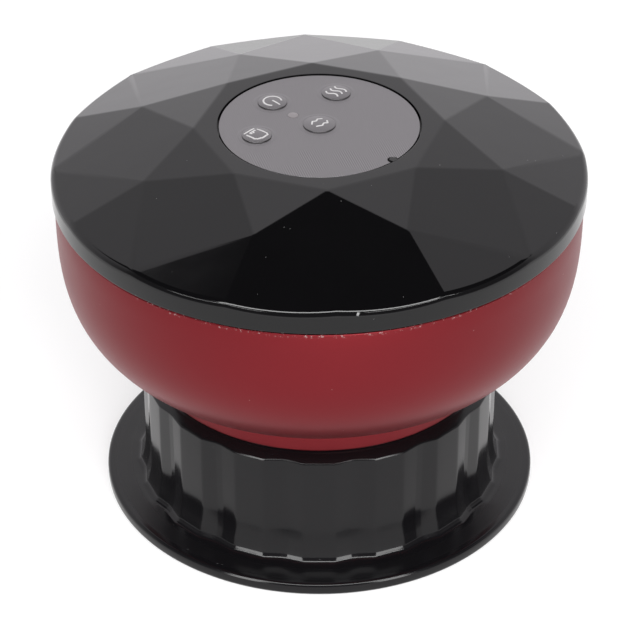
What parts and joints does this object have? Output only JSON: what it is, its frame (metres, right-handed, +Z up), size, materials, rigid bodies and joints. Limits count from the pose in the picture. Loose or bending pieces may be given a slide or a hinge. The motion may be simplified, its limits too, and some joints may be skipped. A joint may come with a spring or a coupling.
{
  "type": "electric cupping massager",
  "caption": "Round powered head with a faceted cover and push buttons on a fluted suction cup with a wide flange; the head lifts off the cup.",
  "frame": {"origin": "centre of the round flange's underside, which is the plane the massager stands on", "axes": "+Z up along the cup's axis, -Y towards the picture's near side"},
  "size_m": [0.095, 0.095, 0.0742],
  "materials": {
    "black_gloss": "high gloss moulded",
    "red_satin": "satin metallic lacquer on moulded plastic",
    "panel_grey": "satin with fine hairlines",
    "button_grey": "satin",
    "clear_window": "frosted clear",
    "black_matt": "fine moulded grain",
    "silicone": "soft matt",
    "dark_rubber": "matt",
    "heat_metal": "turned and polished",
    "amber_film": "smooth film",
    "foam": "open foam",
    "frame_white": "fine moulded grain",
    "board_green": "lacquered board",
    "steel": "zinc plated",
    "copper": "enamelled wire",
    "cell_sleeve": "shrink sleeve",
    "red_wire": "smooth jacket",
    "black_wire": "smooth jacket",
    "white_plastic": "smooth moulded"
  },
  "bodies": {
    "cup": {"suction_cup": "black_gloss"},
    "head": {"housing_bowl": "red_satin", "top_cover": "black_gloss", "control_panel": "panel_grey", "indicator_window": "clear_window", "control_board": "board_green", "power_switch": "black_matt", "heat_switch": "black_matt", "vibration_switch": "black_matt", "mode_switch": "black_matt", "indicator_led": "white_plastic", "control_chip": "black_matt", "board_screw_1": "steel", "board_screw_2": "steel", "base_plate": "black_matt", "seal_ring": "silicone", "heat_plate": "heat_metal", "heating_film": "amber_film", "filter_grille": "black_matt", "air_filter": "foam", "base_screw_1": "steel", "base_screw_2": "steel", "base_screw_3": "steel", "chassis": "frame_white", "cover_screw_1": "steel", "cover_screw_2": "steel", "cover_screw_3": "steel", "cover_screw_4": "steel", "battery_cell": "cell_sleeve", "battery_strap": "black_matt", "battery_lead_red": "red_wire", "battery_lead_black": "black_wire", "pump_motor": "steel", "pump_body": "black_matt", "pump_diaphragm": "dark_rubber", "pump_cap": "black_matt", "motor_grommet_front": "dark_rubber", "motor_grommet_rear": "dark_rubber", "motor_strap": "steel", "air_manifold": "white_plastic", "hose_to_pump": "silicone", "hose_to_valve": "silicone", "hose_to_cup": "silicone", "valve_body": "black_matt", "valve_frame": "steel", "valve_coil": "copper", "valve_spring": "steel", "vibration_motor": "steel", "vibration_strap": "steel", "charge_socket": "steel", "charge_board": "board_green"},
    "power_key": {"power_button": "button_grey"},
    "heat_key": {"heat_button": "button_grey"},
    "vibration_key": {"vibration_button": "button_grey"},
    "mode_key": {"mode_button": "button_grey"},
    "pump_crank": {"pump_shaft": "steel"},
    "valve_core": {"valve_plunger": "steel"},
    "shaker": {"vibration_weight": "steel"}
  },
  "joints": [
    {"name": "head_lift", "type": "slide", "parent": "cup", "child": "head", "axis": [0, 0, 1], "range_m": [0, 0.03]},
    {"name": "power_press", "type": "slide", "parent": "head", "child": "power_key", "axis": [0, 0, -1], "range_m": [0, 0.0004], "stiffness_N_per_m": 600},
    {"name": "heat_press", "type": "slide", "parent": "head", "child": "heat_key", "axis": [0, 0, -1], "range_m": [0, 0.0004], "stiffness_N_per_m": 600},
    {"name": "vibration_press", "type": "slide", "parent": "head", "child": "vibration_key", "axis": [0, 0, -1], "range_m": [0, 0.0004], "stiffness_N_per_m": 600},
    {"name": "mode_press", "type": "slide", "parent": "head", "child": "mode_key", "axis": [0, 0, -1], "range_m": [0, 0.0004], "stiffness_N_per_m": 600},
    {"name": "pump_turn", "type": "hinge", "parent": "head", "child": "pump_crank", "pos_m": [0, -0.016, 0.0503], "axis": [1, 0, 0], "continuous": true},
    {"name": "valve_pull", "type": "slide", "parent": "head", "child": "valve_core", "axis": [0, 0, -1], "range_m": [0, 0.0008], "stiffness_N_per_m": 250, "deforming": ["valve_spring"]},
    {"name": "shaker_turn", "type": "hinge", "parent": "head", "child": "shaker", "pos_m": [0, 0.0022, 0.0443], "axis": [1, 0, 0], "continuous": true}
  ]
}
